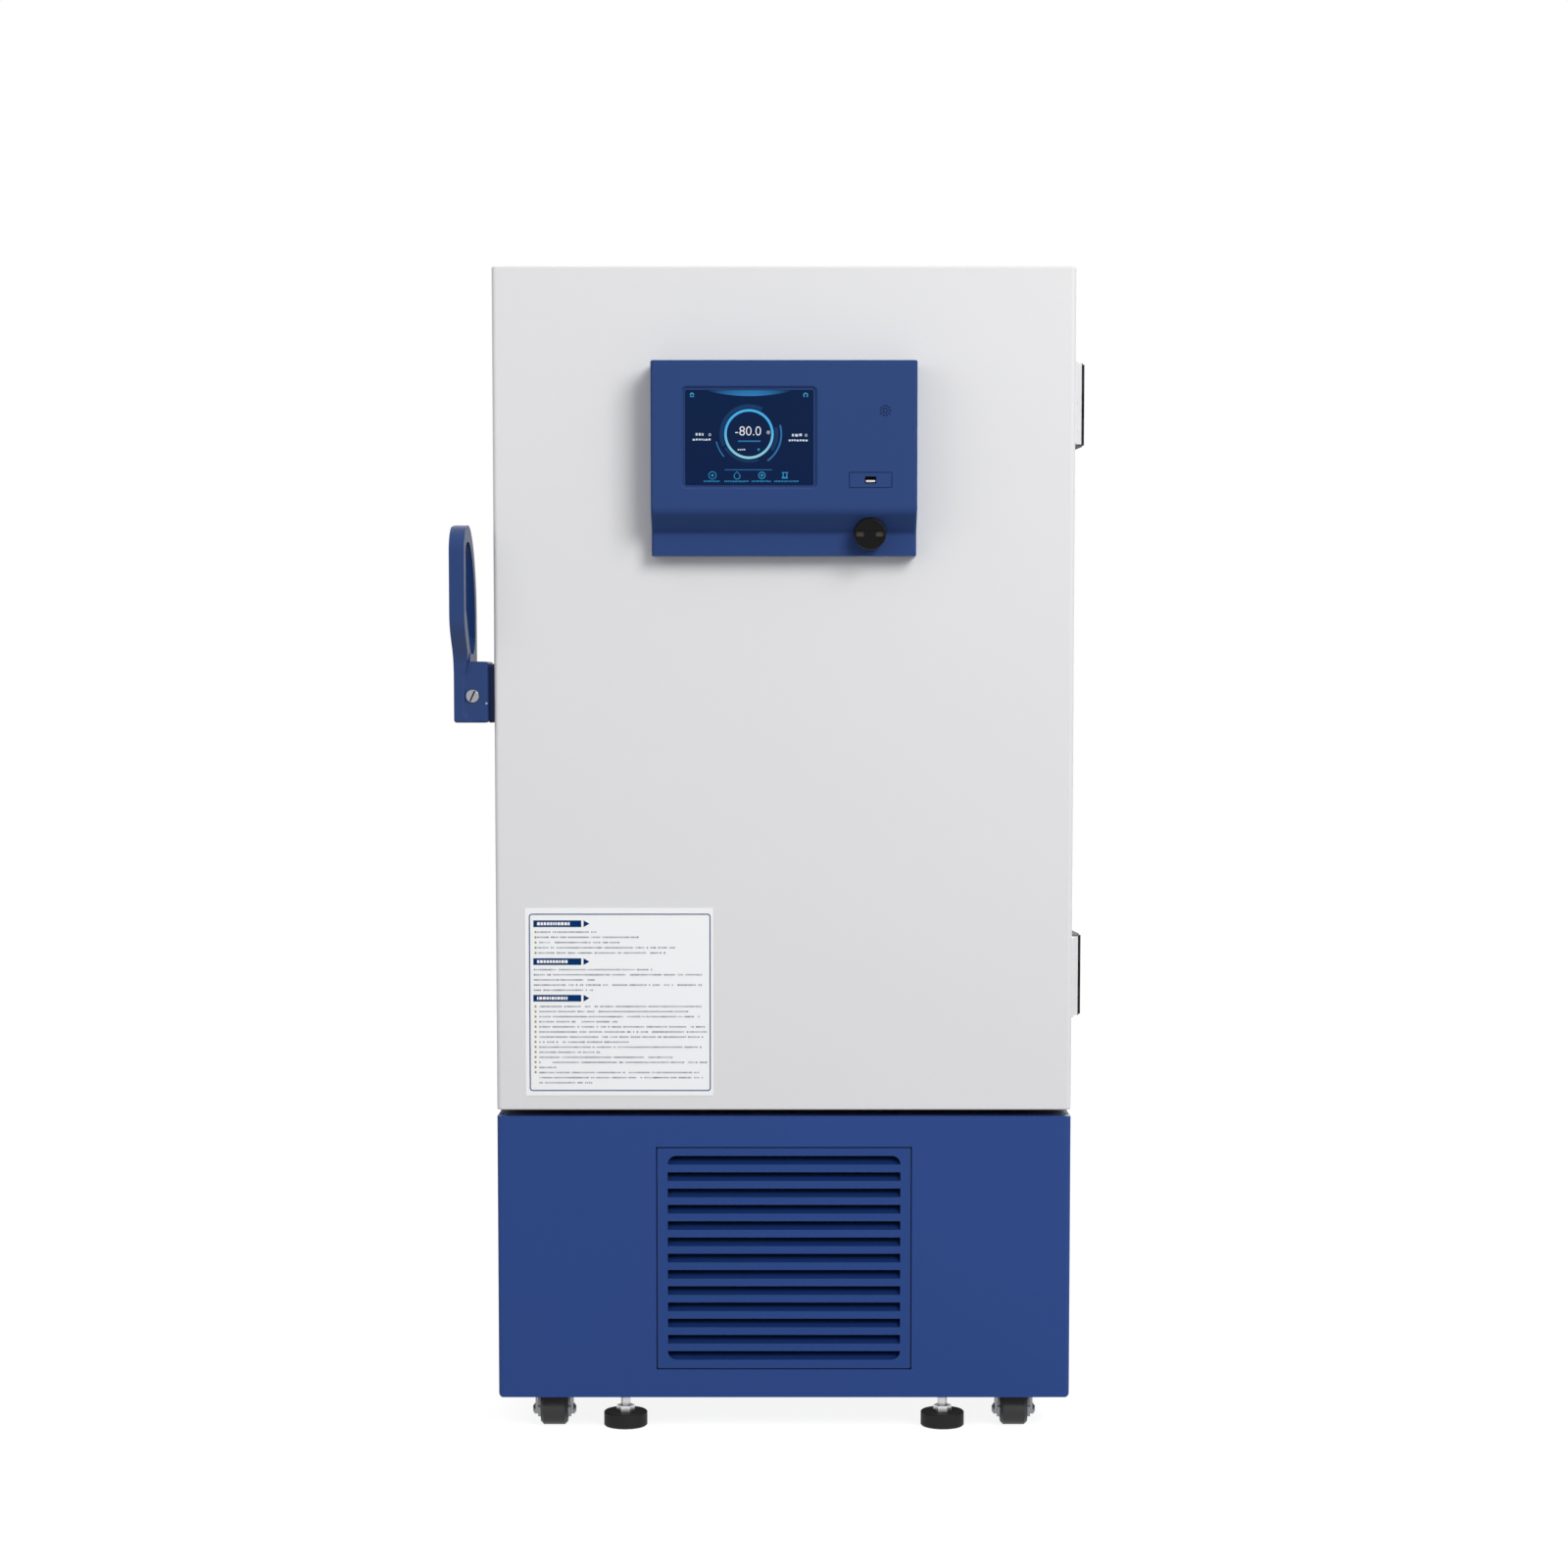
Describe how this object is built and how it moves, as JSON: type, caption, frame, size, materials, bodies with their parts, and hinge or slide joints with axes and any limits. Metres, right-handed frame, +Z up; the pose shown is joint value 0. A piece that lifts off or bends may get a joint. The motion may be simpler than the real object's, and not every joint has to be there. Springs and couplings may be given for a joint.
{
  "type": "ultra low temperature freezer",
  "caption": "Upright cabinet freezer on casters with a side lever handle, a moulded control panel, inner doors and a louvred base.",
  "frame": {"origin": "the middle of the object's box, on the floor", "axes": "+Z up, the door faces -Y, the lever handle is on -X and the hinges are on +X"},
  "size_m": [1.0594, 1.04, 1.955],
  "materials": {
    "white_paint": "fine textured powder coat",
    "blue_paint": "fine textured powder coat",
    "deck_paint": "dull powder coat",
    "blue_moulding": "satin moulded",
    "black_moulding": "satin",
    "pale_moulding": "satin moulded",
    "foam": "rigid foam",
    "glass": "glossy",
    "seal": "soft",
    "stainless": "brushed",
    "zinc": "zinc plated",
    "black_steel": "satin black",
    "lock_chrome": "polished",
    "copper": "drawn tube",
    "fins": "bare",
    "filter_mesh": "woven mesh",
    "box_grey": "powder coat",
    "caster_steel": "zinc plated",
    "caster_nylon": "moulded",
    "foot_rubber": "moulded"
  },
  "bodies": {
    "cabinet": {"side_panel_left": "white_paint", "side_panel_right": "white_paint", "top_panel": "white_paint", "back_panel": "white_paint", "cabinet_insulation": "foam", "inner_liner": "stainless", "evaporator_coil": "copper", "breaker_frame": "pale_moulding", "shelf_lower": "stainless", "shelf_middle": "stainless", "shelf_upper": "stainless", "shelf_rails": "stainless", "latch_striker": "zinc", "rear_bumpers": "black_moulding", "hinge_cabinet_leaf_upper": "black_steel", "hinge_cabinet_leaf_lower": "black_steel", "base_front_panel": "blue_paint", "base_side_panel_left": "white_paint", "base_side_panel_right": "white_paint", "base_rear_grille": "white_paint", "base_deck": "deck_paint", "chassis_pan": "zinc", "air_filter": "filter_mesh", "condenser": "fins", "fan_shroud": "black_moulding", "fan_motor": "black_steel", "compressor_high_stage": "black_steel", "compressor_low_stage": "black_steel", "refrigerant_pipes": "copper", "electrical_box": "box_grey", "cord_gland": "black_moulding"},
    "outer_door": {"door_outer_skin": "white_paint", "door_insulation": "foam", "door_inner_panel": "pale_moulding", "door_gasket": "seal", "control_housing": "blue_moulding", "screen_bezel": "black_moulding", "touch_screen": "glass", "usb_port": "black_moulding", "handle_bracket": "zinc", "hinge_door_leaf_upper": "white_paint", "hinge_door_leaf_lower": "white_paint"},
    "rotary_knob": {"control_knob": "black_moulding"},
    "lever": {"handle_lever": "blue_moulding", "latch_hook": "zinc"},
    "key_lock": {"lock_cylinder": "lock_chrome"},
    "upper_inner_door": {"inner_door_upper": "pale_moulding"},
    "lower_inner_door": {"inner_door_lower": "pale_moulding"},
    "grille": {"front_grille": "blue_moulding"},
    "fan": {"condenser_fan": "black_moulding"},
    "left_foot": {"foot_left": "foot_rubber"},
    "right_foot": {"foot_right": "foot_rubber"},
    "swivel_front_left": {"caster_fork_front_left": "caster_steel"},
    "wheel_front_left": {"caster_wheel_front_left": "caster_nylon"},
    "swivel_front_right": {"caster_fork_front_right": "caster_steel"},
    "wheel_front_right": {"caster_wheel_front_right": "caster_nylon"},
    "swivel_rear_left": {"caster_fork_rear_left": "caster_steel"},
    "wheel_rear_left": {"caster_wheel_rear_left": "caster_nylon"},
    "swivel_rear_right": {"caster_fork_rear_right": "caster_steel"},
    "wheel_rear_right": {"caster_wheel_rear_right": "caster_nylon"}
  },
  "joints": [
    {"name": "outer_door_hinge", "type": "hinge", "parent": "cabinet", "child": "outer_door", "pos_m": [0.51825, -0.344, 1.2475], "axis": [0, 0, 1], "range_deg": [0, 110]},
    {"name": "upper_inner_door_hinge", "type": "hinge", "parent": "cabinet", "child": "upper_inner_door", "pos_m": [0.41225, -0.324, 1.2475], "axis": [0, 0, 1], "range_deg": [0, 100]},
    {"name": "lower_inner_door_hinge", "type": "hinge", "parent": "cabinet", "child": "lower_inner_door", "pos_m": [0.41225, -0.324, 1.2475], "axis": [0, 0, 1], "range_deg": [0, 100]},
    {"name": "lever_pull", "type": "hinge", "parent": "outer_door", "child": "lever", "pos_m": [-0.52755, -0.41, 1.2525], "axis": [1, 0, 0], "range_deg": [0, 50]},
    {"name": "key_turn", "type": "hinge", "parent": "lever", "child": "key_lock", "pos_m": [-0.49705, -0.462, 1.246], "axis": [0, 1, 0], "range_deg": [0, 90]},
    {"name": "knob_turn", "type": "hinge", "parent": "outer_door", "child": "rotary_knob", "pos_m": [0.16425, -0.5113, 1.513], "axis": [0, 1, 0], "range_deg": [0, 90]},
    {"name": "grille_tilt", "type": "hinge", "parent": "cabinet", "child": "grille", "pos_m": [0.02225, -0.4465, 0.117], "axis": [1, 0, 0], "range_deg": [0, 90]},
    {"name": "fan_spin", "type": "hinge", "parent": "cabinet", "child": "fan", "pos_m": [0.02225, -0.3357, 0.289], "axis": [0, 1, 0], "continuous": true},
    {"name": "left_foot_screw", "type": "slide", "parent": "cabinet", "child": "left_foot", "axis": [0, 0, 1], "range_m": [-0.015, 0]},
    {"name": "right_foot_screw", "type": "slide", "parent": "cabinet", "child": "right_foot", "axis": [0, 0, 1], "range_m": [-0.015, 0]},
    {"name": "swivel_front_left_turn", "type": "hinge", "parent": "cabinet", "child": "swivel_front_left", "pos_m": [-0.37075, -0.368, 0.06], "axis": [0, 0, 1], "continuous": true},
    {"name": "wheel_front_left_roll", "type": "hinge", "parent": "swivel_front_left", "child": "wheel_front_left", "pos_m": [-0.37075, -0.393, 0.027], "axis": [1, 0, 0], "continuous": true},
    {"name": "swivel_front_right_turn", "type": "hinge", "parent": "cabinet", "child": "swivel_front_right", "pos_m": [0.41525, -0.368, 0.06], "axis": [0, 0, 1], "continuous": true},
    {"name": "wheel_front_right_roll", "type": "hinge", "parent": "swivel_front_right", "child": "wheel_front_right", "pos_m": [0.41525, -0.393, 0.027], "axis": [1, 0, 0], "continuous": true},
    {"name": "swivel_rear_left_turn", "type": "hinge", "parent": "cabinet", "child": "swivel_rear_left", "pos_m": [-0.37075, 0.418, 0.06], "axis": [0, 0, 1], "continuous": true},
    {"name": "wheel_rear_left_roll", "type": "hinge", "parent": "swivel_rear_left", "child": "wheel_rear_left", "pos_m": [-0.37075, 0.393, 0.027], "axis": [1, 0, 0], "continuous": true},
    {"name": "swivel_rear_right_turn", "type": "hinge", "parent": "cabinet", "child": "swivel_rear_right", "pos_m": [0.41525, 0.418, 0.06], "axis": [0, 0, 1], "continuous": true},
    {"name": "wheel_rear_right_roll", "type": "hinge", "parent": "swivel_rear_right", "child": "wheel_rear_right", "pos_m": [0.41525, 0.393, 0.027], "axis": [1, 0, 0], "continuous": true}
  ],
  "couplings": [
    {"joint": "upper_inner_door_hinge", "follows": "outer_door_hinge", "ratio": 0.9},
    {"joint": "lower_inner_door_hinge", "follows": "outer_door_hinge", "ratio": 0.9}
  ]
}
